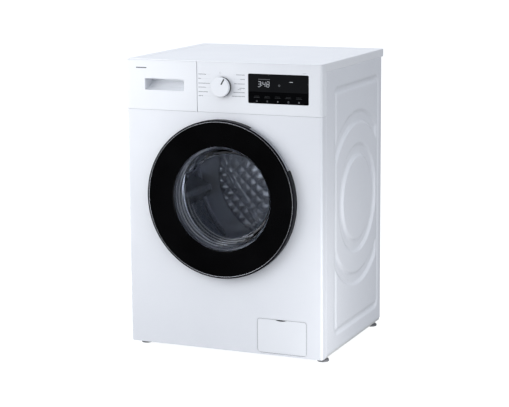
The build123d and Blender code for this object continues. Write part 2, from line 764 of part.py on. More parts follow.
side = side_panel()
save("side_panel_right", side)
save("side_panel_left", mirror(side, Plane.YZ))
SINGLE = {
    "front_panel": front_panel, "rear_panel": rear_panel, "rear_cover": rear_cover,
    "base_tray": base_tray, "worktop": worktop, "control_fascia": control_fascia,
    "display_window": display_window, "control_board": control_board,
    "programme_knob": programme_knob, "dispenser_housing": dispenser_housing,
    "drawer_front": drawer_front, "drawer_tray": drawer_tray,
    "inlet_valve": inlet_valve, "dispenser_hose": dispenser_hose,
    "door_lock": door_lock, "door_hinge_bracket": door_hinge_bracket, "door_gasket": door_gasket,
    "top_brace": top_brace, "drain_pump": drain_pump, "drain_filter": drain_filter,
    "sump_hose": sump_hose, "internal_hoses": internal_hoses,
    "damper_cylinders": damper_cylinders, "damper_rods": damper_rods,
    "suspension_springs": suspension_springs, "rear_fittings": rear_fittings,
    "cabinet_fasteners": cabinet_fasteners, "flap_frame": flap_frame, "filter_flap": filter_flap,
    "tub_front": tub_front, "tub_rear": tub_rear, "drum_bearings": drum_bearings,
    "counterweights": counterweights, "motor_housing": motor_housing, "drive_belt": drive_belt,
    "heater": heater, "drum_shell": drum_shell, "drum_lifters": drum_lifters,
    "drum_spider": drum_spider, "drum_pulley": drum_pulley,
    "motor_rotor": motor_rotor, "door_ring": door_ring,
    "door_window": door_window, "door_glass": door_glass, "door_inner_frame": door_inner_frame,
    "door_grip": door_grip, "door_hinge_leaf": door_hinge_leaf, "door_hinge_pin": door_hinge_pin,
    "door_hook": door_hook,
}
for name, make in SINGLE.items():
    save(name, make())
for i, x in enumerate(KEY_X):
    save("key_" + str(i + 1), key(x))
for i, (x, y) in enumerate(FOOT_XY):
    save("foot_" + str(i + 1), foot(x, y))
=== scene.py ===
import json
import math
import random

import bpy
from mathutils import Matrix, Vector

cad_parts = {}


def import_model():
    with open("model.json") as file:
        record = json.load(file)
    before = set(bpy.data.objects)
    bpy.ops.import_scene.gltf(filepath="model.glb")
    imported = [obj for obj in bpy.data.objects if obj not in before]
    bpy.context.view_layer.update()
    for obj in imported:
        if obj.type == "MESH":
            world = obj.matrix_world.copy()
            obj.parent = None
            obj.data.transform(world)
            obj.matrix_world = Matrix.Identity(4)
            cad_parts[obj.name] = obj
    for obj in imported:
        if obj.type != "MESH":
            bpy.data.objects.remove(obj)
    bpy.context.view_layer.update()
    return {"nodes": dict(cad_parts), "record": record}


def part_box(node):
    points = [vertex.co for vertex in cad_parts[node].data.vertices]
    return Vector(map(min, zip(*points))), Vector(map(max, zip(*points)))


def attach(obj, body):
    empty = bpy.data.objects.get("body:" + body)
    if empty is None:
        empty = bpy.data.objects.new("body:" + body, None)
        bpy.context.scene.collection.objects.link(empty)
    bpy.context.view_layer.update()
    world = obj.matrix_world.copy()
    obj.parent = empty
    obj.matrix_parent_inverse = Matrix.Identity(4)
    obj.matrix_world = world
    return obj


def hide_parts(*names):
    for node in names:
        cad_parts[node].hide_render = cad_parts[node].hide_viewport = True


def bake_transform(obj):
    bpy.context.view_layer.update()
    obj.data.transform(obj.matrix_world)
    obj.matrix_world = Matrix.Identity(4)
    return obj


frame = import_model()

# Front load washing machine. Metres; the front faces -Y, +X is to the right.

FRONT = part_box("front_panel")[0][1]              # plane of the front panel
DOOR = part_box("door_ring")
DOOR_Z = (DOOR[0][2] + DOOR[1][2]) / 2           # axis of door, tub and drum
DOOR_FACE = DOOR[0][1]
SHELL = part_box("drum_shell")
DRUM_R = (SHELL[1][2] - SHELL[0][2]) / 2
MM = 0.001
SKY_TINT = (0.90, 0.935, 1.0)
SKY_ABOVE = 1.02                                 # strength of the sky's light from above
SKY_BELOW = 0.42                                 # and from below
BACKDROP = 1.1
FLOOR_GLOW = 1.0
GLOSS_DIM = 0.05                                 # what shows in gloss away from the bright patches
GLOSS_DIM_BEHIND = 0.03
GLOSS_PATCH = 1.5                                # bright patch in front, at the upper left
GLOSS_BEHIND = 1.0                               # bright patch behind, which the worktop mirrors
GLOSS_EDGE = 2.2                                 # bright patch at the right, which the front's edge mirrors
THROUGH_GLASS = 0.56                             # how much of the sky's light the door's glass lets in
TRIM_WIDE = 0.028                                # trim round the worktop
TRIM_SOFT = 9 * MM
TRIM_DEEP = 0.003


# ------------------------------------------------------------------ materials

class Finish:
    """A node material that grows step by step."""

    def __init__(self, name):
        self.material = bpy.data.materials.new(name)
        self.material.use_nodes = True
        self.tree = self.material.node_tree
        self.shader = self.tree.nodes["Principled BSDF"]
        self.coords = self.tree.nodes.new("ShaderNodeTexCoord").outputs["Object"]

    def node(self, kind, **values):
        n = self.tree.nodes.new("ShaderNode" + kind)
        for key, value in values.items():
            if key in n.inputs:
                n.inputs[key].default_value = value
            else:
                setattr(n, key, value)
        return n

    def link(self, a, b):
        self.tree.links.new(a, b)

    def stretched(self, scale):
        m = self.node("Mapping")
        m.inputs["Scale"].default_value = scale
        self.link(self.coords, m.inputs["Vector"])
        return m.outputs["Vector"]

    def noise(self, scale, detail=3.0, stretch=None):
        n = self.node("TexNoise", Scale=scale, Detail=detail)
        self.link(self.stretched(stretch) if stretch else self.coords, n.inputs["Vector"])
        return n.outputs["Fac"]

    def spread(self, source, low, high, low_in=0.3, high_in=0.7):
        m = self.node("MapRange")
        m.inputs["From Min"].default_value = low_in
        m.inputs["From Max"].default_value = high_in
        m.inputs["To Min"].default_value = low
        m.inputs["To Max"].default_value = high
        self.link(source, m.inputs["Value"])
        return m.outputs["Result"]

    def tint(self, source, dark, light, low_in=0.3, high_in=0.7):
        ramp = self.node("ValToRGB")
        ramp.color_ramp.elements[0].position = low_in
        ramp.color_ramp.elements[1].position = high_in
        ramp.color_ramp.elements[0].color = (*dark, 1)
        ramp.color_ramp.elements[1].color = (*light, 1)
        self.link(source, ramp.inputs["Fac"])
        return ramp.outputs["Color"]

    def colour(self, socket):
        self.link(socket, self.shader.inputs["Base Color"])

    def roughness(self, socket):
        self.link(socket, self.shader.inputs["Roughness"])

    def bump(self, height, depth, strength=1.0):
        b = self.node("Bump", Strength=strength, Distance=depth)
        self.link(height, b.inputs["Height"])
        self.link(b.outputs["Normal"], self.shader.inputs["Normal"])

    def set(self, **values):
        for key, value in values.items():
            self.shader.inputs[key.replace("_", " ")].default_value = value
        return self


def coated(name, dark, light, rough, grain, depth, patch=9.0, stretch=None, **values):
    """Paint, lacquer, plastic or metal: slow colour drift, fine grain in gloss and surface."""
    f = Finish(name)
    f.colour(f.tint(f.noise(patch, 4.0, stretch), dark, light))
    fine = f.noise(grain, 2.0, stretch)
    f.roughness(f.spread(fine, rough[0], rough[1]))
    f.bump(fine, depth)
    f.set(**values)
    return f.material


def concrete():
    f = Finish("cast_concrete")
    f.colour(f.tint(f.noise(60.0, 8.0), (0.25, 0.24, 0.23), (0.42, 0.41, 0.39)))
    pits = f.node("TexVoronoi", Scale=220.0)
    f.link(f.coords, pits.inputs["Vector"])
    f.bump(pits.outputs["Distance"], 0.0012, 0.7)
    f.set(Roughness=0.9)
    return f.material


def glass():
    f = Finish("door_glass_clear")
    f.set(Base_Color=(0.92, 0.945, 1.0, 1), Roughness=0.0, IOR=1.13, Transmission_Weight=1.0)
    haze = f.noise(14.0, 3.0)
    f.roughness(f.spread(haze, 0.0, 0.02))
    return f.material


def trimmed_laminate():
    """Laminate top let into a narrow raised trim that runs round its edges."""
    low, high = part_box("worktop")
    f = Finish("trimmed_laminate")
    f.colour(f.tint(f.noise(9.0, 4.0), (0.80, 0.81, 0.835), (0.825, 0.835, 0.855)))
    f.roughness(f.spread(f.noise(900.0, 2.0), 0.30, 0.42))
    parts = f.node("SeparateXYZ")
    f.link(f.coords, parts.inputs[0])
    sides = []
    for axis, first, last in (("X", low[0], high[0]), ("Y", low[1], high[1])):
        centred = f.node("Math", operation="SUBTRACT")
        centred.inputs[1].default_value = (first + last) / 2
        f.link(parts.outputs[axis], centred.inputs[0])
        away = f.node("Math", operation="ABSOLUTE")
        f.link(centred.outputs[0], away.inputs[0])
        left = f.node("Math", operation="SUBTRACT")
        left.inputs[0].default_value = (last - first) / 2
        f.link(away.outputs[0], left.inputs[1])
        sides.append(left.outputs[0])
    nearest = f.node("Math", operation="MINIMUM")
    f.link(sides[0], nearest.inputs[0])
    f.link(sides[1], nearest.inputs[1])
    f.bump(f.spread(nearest.outputs[0], 1.0, 0.0, TRIM_WIDE, TRIM_WIDE + TRIM_SOFT), TRIM_DEEP)
    return f.material


def board():
    f = Finish("circuit_board")
    grid = f.node("TexBrick", Scale=180.0)
    grid.inputs["Color1"].default_value = (0.01, 0.09, 0.035, 1)
    grid.inputs["Color2"].default_value = (0.015, 0.12, 0.05, 1)
    grid.inputs["Mortar"].default_value = (0.04, 0.2, 0.08, 1)
    f.link(f.coords, grid.inputs["Vector"])
    f.colour(grid.outputs["Color"])
    f.bump(grid.outputs["Fac"], 0.00005)
    f.set(Roughness=0.35)
    return f.material


def lit(name, colour, strength, backing=(0.02, 0.02, 0.02)):
    """Printed or glowing marks, and marks of painted shade: a faint dot screen keeps them from being flat."""
    f = Finish(name)
    f.colour(f.tint(f.noise(900.0), backing, colour, 0.1, 0.35))
    f.set(Roughness=0.4)
    if strength:
        f.set(Emission_Color=(*colour, 1), Emission_Strength=strength)
    return f.material


WHITE_ENAMEL = coated("white_enamel", (0.80, 0.815, 0.85), (0.82, 0.835, 0.868), (0.26, 0.34), 700.0,
                      0.00002, Coat_Weight=0.25, Coat_Roughness=0.12)
WHITE_PLASTIC = coated("white_plastic", (0.815, 0.83, 0.86), (0.835, 0.85, 0.875), (0.30, 0.40), 1500.0,
                       0.00002, Specular_IOR_Level=0.4)
WHITE_LAMINATE = trimmed_laminate()
BLACK_GLOSS = coated("black_gloss", (0.0015, 0.0015, 0.0017), (0.003, 0.003, 0.0033), (0.05, 0.12), 30.0,
                     0.000004, Specular_IOR_Level=0.08)
BLACK_RIM = coated("black_rim", (0.003, 0.003, 0.005), (0.006, 0.006, 0.009), (0.3, 0.4), 60.0,
                   0.000006, Specular_IOR_Level=0.08)
DARK_WINDOW = coated("dark_window", (0.0012, 0.0014, 0.0018), (0.0025, 0.0026, 0.0032), (0.08, 0.14), 60.0,
                     0.000004, Specular_IOR_Level=0.14)
SILVER = coated("silver_trim", (0.66, 0.67, 0.70), (0.76, 0.77, 0.80), (0.16, 0.26), 400.0, 0.000006,
                Metallic=0.75)
LIGHT_GREY = coated("light_grey_plastic", (0.52, 0.53, 0.57), (0.58, 0.59, 0.62), (0.3, 0.42), 1200.0,
                    0.00002)
GREY_PLASTIC = coated("grey_plastic", (0.33, 0.34, 0.36), (0.40, 0.41, 0.43), (0.45, 0.6), 500.0, 0.00006)
DARK_PLASTIC = coated("dark_plastic", (0.035, 0.035, 0.04), (0.06, 0.06, 0.065), (0.45, 0.6), 800.0, 0.00005)
GREY_RUBBER = coated("grey_rubber", (0.13, 0.135, 0.155), (0.18, 0.185, 0.205), (0.42, 0.58), 350.0, 0.00006)
BLACK_RUBBER = coated("black_rubber", (0.012, 0.012, 0.012), (0.028, 0.028, 0.028), (0.5, 0.7), 350.0,
                      0.00008)
STAINLESS = coated("rolled_stainless", (0.36, 0.385, 0.43), (0.46, 0.485, 0.53), (0.24, 0.36), 260.0, 0.00002,
                   stretch=(1, 6, 1), Metallic=0.72)
# the drum's back wall: the same stainless, painted lighter as painted light coming in through the window
BACK_STEEL_LIT = coated("drum_back_steel_painted_light", (0.68, 0.705, 0.75), (0.80, 0.825, 0.87), (0.28, 0.38), 260.0, 0.00002,
                    Metallic=0.6)
ZINC = coated("zinc_steel", (0.42, 0.43, 0.42), (0.60, 0.61, 0.60), (0.3, 0.5), 160.0, 0.00003,
              patch=40.0, Metallic=1.0)
ALUMINIUM = coated("cast_aluminium", (0.48, 0.48, 0.49), (0.60, 0.60, 0.61), (0.45, 0.6), 420.0, 0.0001,
                   patch=30.0, Metallic=1.0)
CONCRETE = concrete()
GLASS = glass()
BOARD = board()
TRAY_GREY = coated("tray_grey", (0.60, 0.61, 0.60), (0.66, 0.67, 0.655), (0.45, 0.6), 500.0, 0.00004)
GRIP_GREY = coated("grip_grey", (0.25, 0.26, 0.29), (0.30, 0.31, 0.34), (0.3, 0.42), 1200.0, 0.00002)
FOOT_GREY = coated("foot_grey", (0.13, 0.13, 0.138), (0.21, 0.21, 0.22), (0.35, 0.5), 800.0, 0.00005)
# dark band at the knob's foot: painted shade on the knob's side wall
KNOB_SHADE = coated("knob_painted_shade", (0.035, 0.036, 0.04), (0.05, 0.052, 0.056), (0.4, 0.5), 800.0, 0.00002)
# lines on the door's glass bowl: painted highlight (light) and painted shade (dark)
BOWL_HIGHLIGHT = coated("bowl_painted_highlight_line", (0.34, 0.365, 0.41), (0.58, 0.61, 0.66), (0.3, 0.4), 300.0, 0.00001,
                    patch=40.0)
BOWL_SHADE = coated("bowl_painted_shade_line", (0.012, 0.013, 0.016), (0.03, 0.032, 0.036), (0.3, 0.4), 300.0, 0.00001,
                   patch=40.0)
INK_GREY = lit("ink_grey", (0.16, 0.165, 0.19), 0.0, (0.10, 0.10, 0.12))
INK_BAR = lit("ink_bar", (0.14, 0.145, 0.16), 0.0, (0.10, 0.10, 0.115))
INK_FAINT = lit("ink_faint", (0.60, 0.61, 0.64), 0.0, (0.5, 0.5, 0.53))
# grey line round the filter flap: painted shade of the gap
GAP_SHADE = lit("gap_painted_shade", (0.24, 0.25, 0.27), 0.0, (0.18, 0.185, 0.20))
# dark print for the knob's pointer, and painted shade in the filter flap's finger gap
DARK_INK_AND_SHADE = lit("dark_ink_and_shade", (0.014, 0.014, 0.017), 0.0, (0.008, 0.008, 0.01))
GLOW_WHITE = lit("glow_white", (0.70, 0.73, 0.77), 0.40)
GLOW_DIM = lit("glow_dim", (0.035, 0.037, 0.04), 0.01)
GLOW_FAR = lit("glow_key", (0.14, 0.145, 0.155), 0.06)
SMOKE_PANE = coated("smoke_pane", (0.007, 0.0075, 0.0085), (0.009, 0.0095, 0.0105), (0.10, 0.16), 60.0,
                    0.000004, Specular_IOR_Level=0.14)

BY_SLOT = {
    "white_enamel": WHITE_ENAMEL, "white_plastic": WHITE_PLASTIC, "white_laminate": WHITE_LAMINATE,
    "black_gloss": BLACK_GLOSS, "dark_window": DARK_WINDOW, "clear_glass": GLASS,
    "light_grey_plastic": LIGHT_GREY, "grey_plastic": GREY_PLASTIC, "dark_plastic": DARK_PLASTIC,
    "grey_rubber": GREY_RUBBER, "black_rubber": BLACK_RUBBER, "stainless": STAINLESS, "zinc_steel": ZINC,
    "cast_aluminium": ALUMINIUM, "concrete": CONCRETE, "green_board": BOARD,
}


# ------------------------------------------------------------------ mesh helpers

def mesh_piece(name, verts, faces, material, body, sharp=35.0, smooth=True):
    mesh = bpy.data.meshes.new(name)
    mesh.from_pydata(verts, [], faces)
    mesh.validate()
    mesh.materials.append(material)
    if smooth:
        mesh.shade_smooth()
        mesh.set_sharp_from_angle(angle=math.radians(sharp))
    piece = bpy.data.objects.new(name, mesh)
    bpy.context.scene.collection.objects.link(piece)
    if body:
        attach(piece, body)
    return piece


def curve_through(points, steps=6, closed=False):
    """Catmull-Rom curve through 2-D points."""
    out = []
    n = len(points)
    spans = n if closed else n - 1
    for i in range(spans):
        p = [points[(i + k) % n] if closed else points[min(max(i + k, 0), n - 1)] for k in (-1, 0, 1, 2)]
        for s in range(steps):
            t = s / steps
            out.append(tuple(0.5 * (2 * p[1][c] + (p[2][c] - p[0][c]) * t
                                    + (2 * p[0][c] - 5 * p[1][c] + 4 * p[2][c] - p[3][c]) * t * t
                                    + (3 * p[1][c] - p[0][c] - 3 * p[2][c] + p[3][c]) * t ** 3)
                             for c in (0, 1)))
    if not closed:
        out.append(points[-1])
    return out


def lathe(name, outline, material, body, closed=True, turns=160, start=0.0, arc=360.0,
          centre=(0.0, None), sharp=35.0):
    """Turns a (radius, y) outline in mm about a line along Y, angles from +X towards +Z."""
    cx = centre[0]
    cz = DOOR_Z if centre[1] is None else centre[1]
    full = arc >= 360.0
    rings = turns if full else turns + 1
    verts = []
    for i in range(rings):
        a = math.radians(start + arc * i / turns)
        for r, y in outline:
            verts.append((cx + r * MM * math.cos(a), y * MM, cz + r * MM * math.sin(a)))
    n = len(outline)
    faces = []
    for i in range(turns):
        j = (i + 1) % rings
        for k in range(n if closed else n - 1):
            m = (k + 1) % n
            faces.append((i * n + k, i * n + m, j * n + m, j * n + k))
    if closed and not full:
        faces.append(tuple(range(n)))
        faces.append(tuple(reversed(range((rings - 1) * n, rings * n))))
    return mesh_piece(name, verts, faces, material, body, sharp)


def plates(name, shapes, y, material, body, thick=0.06):
    """Flat shapes on a front face: print, glow or painted shade; each shape is a list of (x, z) corners in
    mm.
    """
    verts = []
    faces = []
    for shape in shapes:
        first = len(verts)
        n = len(shape)
        for depth in (0.0, thick):
            verts += [(x * MM, y - depth * MM, z * MM) for x, z in shape]
        faces.append(tuple(first + n + i for i in range(n)))
        faces += [(first + i, first + (i + 1) % n, first + n + (i + 1) % n, first + n + i) for i in range(n)]
    return mesh_piece(name, verts, faces, material, body, smooth=False)


def bar(x0, x1, z0, z1, lean=0.0):
    return [(x0, z0), (x1, z0), (x1 + lean, z1), (x0 + lean, z1)]


def pill(x0, x1, z0, z1):
    r = (z1 - z0) / 2
    cz = (z0 + z1) / 2
    right = [(x1 - r + r * math.cos(t), cz + r * math.sin(t)) for t in
             [math.radians(a) for a in range(-90, 91, 30)]]
    left = [(x0 + r + r * math.cos(t), cz + r * math.sin(t)) for t in
            [math.radians(a) for a in range(90, 271, 30)]]
    return right + left


def ring_marks(cx, cz, r, width, start=0, end=360, step=20):
    out = []
    a = start
    while a < end:
        t0 = math.radians(a)
        t1 = math.radians(min(a + step, end))
        inner = r - width
        out.append([(cx + inner * math.cos(t0), cz + inner * math.sin(t0)),
                    (cx + r * math.cos(t0), cz + r * math.sin(t0)),
                    (cx + r * math.cos(t1), cz + r * math.sin(t1)),
                    (cx + inner * math.cos(t1), cz + inner * math.sin(t1))])
        a += step
    return out


def soften(node, width, angle=28.0, segments=2):
    """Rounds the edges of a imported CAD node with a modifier."""
    o = frame["nodes"][node]
    m = o.modifiers.new("edge", "BEVEL")
    m.width = width * MM
    m.segments = segments
    m.limit_method = "ANGLE"
    m.angle_limit = math.radians(angle)
    m.harden_normals = False
    m.use_clamp_overlap = True


# ------------------------------------------------------------------ stage, light and camera

def world():
    """White backdrop; a sky brighter above than below lights the object, and a dim one with
    three soft bright patches shows in its gloss."""
    w = bpy.data.worlds.new("studio")
    bpy.context.scene.world = w
    w.use_nodes = True
    tree = w.node_tree
    tree.nodes.clear()

    def add(kind):
        return tree.nodes.new("ShaderNode" + kind)

    def background(colour, strength):
        node = add("Background")
        node.inputs["Color"].default_value = (*colour, 1)
        if isinstance(strength, (int, float)):
            node.inputs["Strength"].default_value = strength
        else:
            tree.links.new(strength, node.inputs["Strength"])
        return node.outputs[0]

    def ramp(direction, low_in, high_in, low, high):
        dot = add("VectorMath")
        dot.operation = "DOT_PRODUCT"
        dot.inputs[1].default_value = Vector(direction).normalized()
        tree.links.new(add("TexCoord").outputs["Generated"], dot.inputs[0])
        m = add("MapRange")
        m.interpolation_type = "SMOOTHSTEP"
        for key, value in (("From Min", low_in), ("From Max", high_in), ("To Min", low), ("To Max", high)):
            m.inputs[key].default_value = value
        tree.links.new(dot.outputs["Value"], m.inputs["Value"])
        return m.outputs["Result"]

    def total(a, b):
        node = add("Math")
        node.operation = "ADD"
        tree.links.new(a, node.inputs[0])
        tree.links.new(b, node.inputs[1])
        return node.outputs[0]

    sky = background(SKY_TINT, ramp((0, 0, 1), -0.5, 0.6, SKY_BELOW, SKY_ABOVE))
    patches = total(ramp((-0.55, -0.45, 0.70), 0.72, 0.92, GLOSS_DIM, GLOSS_PATCH),
                    ramp((-0.6, 0.8, 0.3), 0.55, 0.95, GLOSS_DIM_BEHIND, GLOSS_BEHIND))
    patches = total(patches, ramp((0.9, -0.39, -0.15), 0.86, 0.97, 0.0, GLOSS_EDGE))
    gloss = background(SKY_TINT, patches)
    white = background((1, 1, 1), BACKDROP)
    ray = add("LightPath")
    reflected = add("MixShader")
    seen = add("MixShader")
    through = add("Math")
    through.operation = "MULTIPLY_ADD"               # light that comes in through the door's glass
    through.inputs[1].default_value = -THROUGH_GLASS
    tree.links.new(ray.outputs["Is Transmission Ray"], through.inputs[0])
    tree.links.new(ray.outputs["Is Glossy Ray"], through.inputs[2])
    tree.links.new(through.outputs[0], reflected.inputs["Fac"])
    tree.links.new(sky, reflected.inputs[1])
    tree.links.new(gloss, reflected.inputs[2])
    tree.links.new(ray.outputs["Is Camera Ray"], seen.inputs["Fac"])
    tree.links.new(reflected.outputs[0], seen.inputs[1])
    tree.links.new(white, seen.inputs[2])
    tree.links.new(seen.outputs[0], add("OutputWorld").inputs["Surface"])


def floor():
    """Pale floor with its own glow, so that only a faint shadow shows on it."""
    f = Finish("pale_floor")
    f.colour(f.tint(f.noise(2.0), (0.15, 0.15, 0.15), (0.17, 0.17, 0.17)))
    f.set(Roughness=0.9, Specular_IOR_Level=0.0, Emission_Color=(0.97, 0.99, 1.0, 1),
          Emission_Strength=FLOOR_GLOW)
    mesh = bpy.data.meshes.new("floor")
    half = 30.0
    corners = [(-half, -half, 0), (half, -half, 0), (half, half, 0), (-half, half, 0)]
    mesh.from_pydata(corners, [], [(0, 1, 2, 3)])
    mesh.materials.append(f.material)
    o = bpy.data.objects.new("floor", mesh)
    o.visible_glossy = False
    o.visible_diffuse = False
    bpy.context.scene.collection.objects.link(o)


def lamp(name, spot, target, size, power, colour=(1, 1, 1)):
    data = bpy.data.lights.new(name, "AREA")
    data.shape = "RECTANGLE"
    data.size = size[0]
    data.size_y = size[1]
    data.energy = power
    data.color = colour
    o = bpy.data.objects.new(name, data)
    bpy.context.scene.collection.objects.link(o)
    o.visible_glossy = False
    o.location = spot
    aim = Vector(target) - Vector(spot)
    o.rotation_euler = aim.to_track_quat("-Z", "Y").to_euler()


CAMERA_AT = (1.8418, -4.298, 1.2835)
CAMERA_TURN = (23.316, 10.659, -0.475)           # azimuth from the front, elevation and roll
CAMERA_LENS = 113.03
CAMERA_SENSOR = 36.0


def camera():
    azimuth, elevation, roll = [math.radians(a) for a in CAMERA_TURN]
    back = Vector((math.sin(azimuth) * math.cos(elevation), -math.cos(azimuth) * math.cos(elevation),
                   math.sin(elevation)))
    level = Vector((math.cos(azimuth), math.sin(azimuth), 0.0))
    rise = back.cross(level)
    right = math.cos(roll) * level + math.sin(roll) * rise
    up = math.cos(roll) * rise - math.sin(roll) * level
    data = bpy.data.cameras.new("view")
    data.sensor_width = CAMERA_SENSOR
    data.lens = CAMERA_LENS
    o = bpy.data.objects.new("view", data)
    bpy.context.scene.collection.objects.link(o)
    turn = Matrix((right, up, back)).transposed().to_4x4()
    o.matrix_world = Matrix.Translation(CAMERA_AT) @ turn
    bpy.context.scene.camera = o


bpy.context.scene.view_settings.view_transform = "Standard"
world()
floor()
camera()
lamp("key_upper_left", (-0.85, -0.85, 0.85), (-0.15, 0, 0.6), (0.9, 0.9), 5.4)
lamp("fill_left", (-1.5, -2.0, 1.2), (0, 0, 0.5), (2.4, 2.4), 11)
lamp("fill_right", (0.684, -0.444, 0.03), (0.3, -0.22, 0.2), (0.35, 0.5), 2.7)


# ------------------------------------------------------------------ carried-over nodes

SLOT_OF = {part["node"]: part["material_slot"] for part in frame["record"]["subparts"]}
for part in frame["record"]["subparts"]:
    node = frame["nodes"][part["node"]]
    node.data.materials.clear()
    node.data.materials.append(BY_SLOT[part["material_slot"]])


# ------------------------------------------------------------------ side panels

RINGS = ((239.0, 16.0), (141.5, 16.0))           # radius and half width of the round grooves
RING_AT = (44.0, 434.0)                          # their centre (y, z)
FRAME_AT = (35.0, 420.0)                         # centre of the rectangular groove (y, z)
FRAME_HALF = (180.0, 347.0)
FRAME_CORNER = 16.0
FRAME_GROOVE = 7.0                               # half width of the rectangular groove
RING_CLIP = 178.0                                # the round grooves end this far in front and behind
GROOVE_DEEP = 6.4
GROOVE_SOFT = 4.8
SHEET_SHOWN = 0.8


def smooth(t):
    t = min(1.0, max(0.0, t))
    return t * t * (3 - 2 * t)


def groove(off_centre, half):
    """1 on the floor of a groove and 0 outside it, with soft walls."""
    return smooth((half + GROOVE_SOFT - abs(off_centre)) / (2 * GROOVE_SOFT))


def side_depth(y, z):
    """Depth in mm of the pressings of a side panel."""
    dy = y - RING_AT[0]
    r = math.hypot(dy, z - RING_AT[1])
    clip = smooth((RING_CLIP + GROOVE_SOFT - abs(y - FRAME_AT[0])) / (2 * GROOVE_SOFT) - 0.4)
    rings = max(clip * groove(r - radius, half) for radius, half in RINGS)
    qy = abs(y - FRAME_AT[0]) - FRAME_HALF[0] + FRAME_CORNER
    qz = abs(z - FRAME_AT[1]) - FRAME_HALF[1] + FRAME_CORNER
    edge = math.hypot(max(qy, 0.0), max(qz, 0.0)) + min(max(qy, qz), 0.0) - FRAME_CORNER
    level = smooth(0.5 + (qz - qy) / 60.0)       # 1 along the top and bottom runs of the frame
    return GROOVE_DEEP * max(rings, (0.35 + 0.45 * level) * groove(edge, FRAME_GROOVE))


def side_panel(node, sign):
    low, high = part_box(node)

    def stations(first, last, pitch):
        """Positions and inward drop in mm: a flange, a rounded edge, then the sheet."""
        inner = [first + 1.2 + (last - first - 2.4) * k / round((last - first) / pitch)
                 for k in range(round((last - first) / pitch) + 1)]
        fold = ((0.0, 7.0), (0.0, 1.2), (0.35, 0.35))
        return ([(first + a, drop) for a, drop in fold] + [(v, 0.0) for v in inner]
                + [(last - a, drop) for a, drop in reversed(fold)])

    ys = stations(low[1] / MM, high[1] / MM, 3.0)
    zs = stations(low[2] / MM, high[2] / MM, 3.4)
    outer = max(abs(low[0]), abs(high[0])) / MM

    def across(y, drop_y, z, drop_z):
        pressed = side_depth(y, z) if drop_y + drop_z == 0 else 0.0
        return sign * (outer - max(drop_y, drop_z) - pressed) * MM

    verts = [(across(y, drop_y, z, drop_z), y * MM, z * MM) for y, drop_y in ys for z, drop_z in zs]
    n = len(zs)
    faces = []
    for i in range(len(ys) - 1):
        for k in range(n - 1):
            quad = (i * n + k, (i + 1) * n + k, (i + 1) * n + k + 1, i * n + k + 1)
            faces.append(quad if sign > 0 else tuple(reversed(quad)))
    piece = mesh_piece(node + "_pressed", verts, faces, WHITE_ENAMEL, "cabinet", 60)
    sheet = piece.modifiers.new("sheet", "SOLIDIFY")
    sheet.thickness = SHEET_SHOWN * MM
    sheet.offset = -1.0
    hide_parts(node)


# ------------------------------------------------------------------ door

MOULDED_RINGS = (-238.0, -226.0, -213.0, -200.0, -188.0)


def stepped(outline):
    """Adds the fine moulded rings of the bowl's outer wall."""
    out = []
    for r, y in outline:
        lift = sum(0.7 * math.exp(-((y - step) / 1.6) ** 2) for step in MOULDED_RINGS)
        out.append((r + lift, y))
    return out


BOWL_FACE = [(148, -257), (141.5, -250), (137.6, -236), (132.5, -212), (126, -188), (114, -168),
             (92, -155), (55, -149.4), (0.2, -148)]   # radius and y of the bowl's inner wall
BOWL_LINES = 9                                   # fine raised arcs standing for the wall's moulded rings, painted alternately with highlight and shade


def bowl_radius(y):
    for (r0, y0), (r1, y1) in zip(BOWL_FACE, BOWL_FACE[1:]):
        if y0 <= y <= y1:
            return r0 + (r1 - r0) * (y - y0) / (y1 - y0)


def door():
    y = DOOR_FACE / MM
    bead = [(221.6 + 0.95 * math.cos(t), y + 1.3 - 1.25 * math.sin(t))
            for t in [math.radians(20 * k) for k in range(10)]]
    lathe("door_bright_line", bead, SILVER, "door", turns=256, sharp=60)
    back = [(0.2, -144), (56, -145.4), (94.5, -151.3), (117.5, -165), (130, -186.5), (136.6, -211.5),
            (141.6, -236), (145, -247.5), (150, -253)]
    outline = curve_through(BOWL_FACE, 8) + stepped(curve_through(back, 8)) + [(166, -253), (166, -257)]
    bowl = lathe("door_glass_bowl", outline, GLASS, "door", turns=192, sharp=50)
    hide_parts("door_glass")
    for k in range(BOWL_LINES):
        depth = -246.0 + 6.4 * k
        r = bowl_radius(depth) - 0.4
        # alternate lines carry painted shade and painted highlight
        material, wide = (BOWL_SHADE, 0.8) if k % 2 else (BOWL_HIGHLIGHT, 0.5)
        line = [(r + wide * math.cos(t), depth + wide * math.sin(t))
                for t in [math.radians(60 * c) for c in range(6)]]
        lathe("bowl_painted_light_line_%d" % (k + 1), line, material, "door", turns=120, start=140 + 7 * k,
              arc=122 - 2 * k, sharp=80)


def gasket():
    outer = [(166.5, -249.4), (169.6, -248.4), (169.7, -243), (170.5, -239), (175.5, -236.2), (178, -231),
             (177.8, -220), (175, -213.5), (167, -210.2), (161.5, -206.6), (160.3, -201), (160.3, -193.6)]
    inner = [(157, -193.6), (157.0, -204), (159, -209.6), (168, -213.6), (173.4, -217.6), (174.4, -224),
             (174, -231.5), (171, -234.8), (165, -235.6), (157, -234), (151.5, -235.2), (149, -239),
             (147.7, -243), (149.6, -244.8), (152.2, -241.4), (155.5, -239.2), (162, -240), (165.4, -243)]
    outline = curve_through(outer, 3) + curve_through(inner, 3)
    seal = lathe("door_gasket_folds", outline, GREY_RUBBER, None, sharp=40)
    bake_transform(seal)
    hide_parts("door_gasket")


# ------------------------------------------------------------------ hoses and springs of the sprung tub

